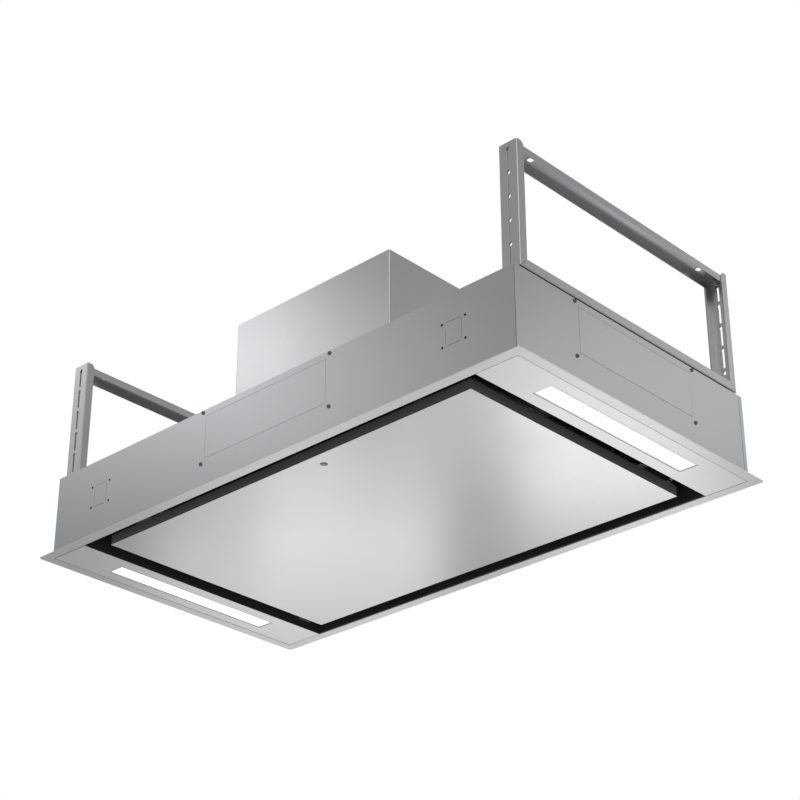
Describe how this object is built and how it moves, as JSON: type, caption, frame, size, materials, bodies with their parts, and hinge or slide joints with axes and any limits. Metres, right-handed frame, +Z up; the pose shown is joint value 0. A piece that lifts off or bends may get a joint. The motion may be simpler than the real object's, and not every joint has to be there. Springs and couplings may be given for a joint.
{
  "type": "ceiling range hood",
  "caption": "Ceiling range hood with a hinged suction panel, light strips, blower box and height-adjustable ceiling brackets.",
  "frame": {"origin": "middle of the trim frame's underside, at the object's lowest plane", "axes": "+X to the right along the long side, +Y to the rear where the duct leaves, +Z up to the ceiling"},
  "size_m": [0.9, 0.5, 0.315],
  "materials": {
    "satin_steel": "fine satin stainless steel, soft broad reflections",
    "galvanised_sheet": "plain galvanised sheet, matt, faint mottling",
    "bracket_steel": "galvanised channel, matt, bright bends",
    "black_sheet": "matt black powder coat",
    "zinc_fastener": "bright zinc plating",
    "diffuser": "opal white diffuser",
    "white_board": "matt white",
    "filter_rim": "plain rolled aluminium",
    "filter_mesh": "pleated aluminium mesh",
    "dark_plastic": "moulded dark plastic, fine grain",
    "motor_paint": "satin dark enamel",
    "rubber": "matt black rubber",
    "circuit_board": "green lacquered board"
  },
  "bodies": {
    "ceiling_brackets": {"upper_bracket_right": "bracket_steel", "upper_bracket_left": "bracket_steel"},
    "hood": {"trim_frame": "satin_steel", "front_wall": "galvanised_sheet", "right_wall": "galvanised_sheet", "rear_wall": "galvanised_sheet", "left_wall": "galvanised_sheet", "top_plate": "galvanised_sheet", "outlet_covers": "galvanised_sheet", "sheet_screws": "zinc_fastener", "intake_frame": "black_sheet", "light_plate_right": "satin_steel", "light_plate_left": "satin_steel", "light_window_right": "diffuser", "light_window_left": "diffuser", "light_housings": "black_sheet", "light_boards": "white_board", "filter_frame_right": "filter_rim", "filter_frame_left": "filter_rim", "filter_mesh_right": "filter_mesh", "filter_mesh_left": "filter_mesh", "panel_hinge_brackets": "galvanised_sheet", "panel_hinge_pins": "zinc_fastener", "catch_housings": "dark_plastic", "motor_box": "galvanised_sheet", "motor_box_lid": "galvanised_sheet", "scroll_housing": "galvanised_sheet", "scroll_cover": "galvanised_sheet", "blower_motor": "motor_paint", "motor_bracket": "galvanised_sheet", "blower_feet": "rubber", "outlet_spigot": "galvanised_sheet", "flap_axle": "zinc_fastener", "control_box": "galvanised_sheet", "control_box_cover": "galvanised_sheet", "power_board": "circuit_board", "terminal_block": "white_board", "capacitor": "white_board", "cable_gland": "dark_plastic", "wiring": "rubber", "lower_bracket_right": "bracket_steel", "lower_bracket_left": "bracket_steel", "bracket_spacers": "rubber", "bracket_bolts": "zinc_fastener", "clamp_screws": "zinc_fastener", "clamp_nuts": "zinc_fastener"},
    "suction_panel": {"perimeter_panel": "satin_steel", "panel_tray": "black_sheet", "receiver_window": "dark_plastic", "panel_hinge_arms": "galvanised_sheet"},
    "catch_right": {"catch_plunger_right": "zinc_fastener"},
    "catch_left": {"catch_plunger_left": "zinc_fastener"},
    "filter_latch_right": {"filter_latch_right": "dark_plastic"},
    "filter_latch_left": {"filter_latch_left": "dark_plastic"},
    "impeller": {"impeller": "galvanised_sheet", "impeller_ring": "galvanised_sheet", "impeller_blades": "galvanised_sheet", "motor_shaft": "zinc_fastener"},
    "flap_right": {"flap_right": "dark_plastic"},
    "flap_left": {"flap_left": "dark_plastic"}
  },
  "joints": [
    {"name": "height_adjust", "type": "slide", "parent": "ceiling_brackets", "child": "hood", "axis": [0, 0, -1], "range_m": [0, 0.14]},
    {"name": "panel_hinge", "type": "hinge", "parent": "hood", "child": "suction_panel", "pos_m": [0, 0.2, 0.025], "axis": [1, 0, 0], "range_deg": [0, 90]},
    {"name": "catch_right_slide", "type": "slide", "parent": "hood", "child": "catch_right", "axis": [0, -1, 0], "range_m": [0, 0.0045], "stiffness_N_per_m": 800, "springref_m": -0.003},
    {"name": "filter_latch_right_slide", "type": "slide", "parent": "hood", "child": "filter_latch_right", "axis": [0, 1, 0], "range_m": [0, 0.005], "stiffness_N_per_m": 300, "springref_m": -0.003},
    {"name": "catch_left_slide", "type": "slide", "parent": "hood", "child": "catch_left", "axis": [0, -1, 0], "range_m": [0, 0.0045], "stiffness_N_per_m": 800, "springref_m": -0.003},
    {"name": "filter_latch_left_slide", "type": "slide", "parent": "hood", "child": "filter_latch_left", "axis": [0, 1, 0], "range_m": [0, 0.005], "stiffness_N_per_m": 300, "springref_m": -0.003},
    {"name": "impeller_spin", "type": "hinge", "parent": "hood", "child": "impeller", "pos_m": [-0.0012, -0.015, 0.2], "axis": [0, 0, 1], "continuous": true},
    {"name": "flap_right_hinge", "type": "hinge", "parent": "hood", "child": "flap_right", "pos_m": [0.0723, 0.169, 0.2157], "axis": [0, 0, 1], "range_deg": [0, 75], "stiffness_Nm_per_rad": 0.05, "springref_deg": -11.46},
    {"name": "flap_left_hinge", "type": "hinge", "parent": "hood", "child": "flap_left", "pos_m": [0.0723, 0.169, 0.2157], "axis": [0, 0, -1], "range_deg": [0, 75], "stiffness_Nm_per_rad": 0.05, "springref_deg": -11.46}
  ]
}
